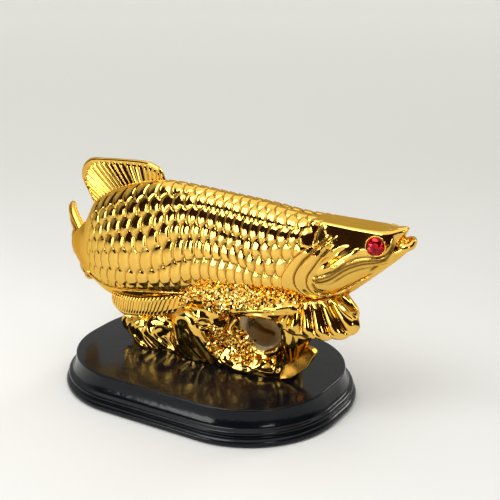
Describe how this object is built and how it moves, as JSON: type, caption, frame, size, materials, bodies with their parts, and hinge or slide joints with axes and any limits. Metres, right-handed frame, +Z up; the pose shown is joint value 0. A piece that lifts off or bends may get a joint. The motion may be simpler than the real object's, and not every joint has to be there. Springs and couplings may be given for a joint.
{
  "type": "arowana figurine",
  "caption": "Gold-plated arowana figurine leaping over a wave-and-rock casting, with red crystal eyes, on a stepped black lacquered base.",
  "frame": {"origin": "centre of the base's underside", "axes": "+X towards the fish's snout, +Z up, -Y towards the side the picture shows; the tail sweeps to +Y"},
  "size_m": [0.1429, 0.0738, 0.0779],
  "materials": {
    "gold_plating": "mirror-bright gold plating over a cast figurine; brass stands in for the plating's looks, the casting itself is resin",
    "red_crystal": "faceted red crystal with a foiled back",
    "black_lacquer": "gloss black lacquer over a routed wooden base"
  },
  "bodies": {
    "root": {"base": "black_lacquer", "trunk": "gold_plating", "tail_stalk": "gold_plating", "head": "gold_plating", "lower_jaw": "gold_plating", "gill_cover_right": "gold_plating", "gill_cover_left": "gold_plating", "dorsal_fin": "gold_plating", "anal_fin": "gold_plating", "caudal_fin": "gold_plating", "pectoral_fin_right": "gold_plating", "pectoral_fin_left": "gold_plating", "eye_setting_right": "gold_plating", "eye_setting_left": "gold_plating", "wave_scroll": "gold_plating", "wave_fold": "gold_plating", "rock_back": "gold_plating", "rock_sill": "gold_plating", "rock_column": "gold_plating", "rock_wedge": "gold_plating", "coral_ledge_right": "gold_plating", "coral_ledge_left": "gold_plating", "eye_gem_right": "red_crystal", "eye_gem_left": "red_crystal"}
  },
  "joints": []
}
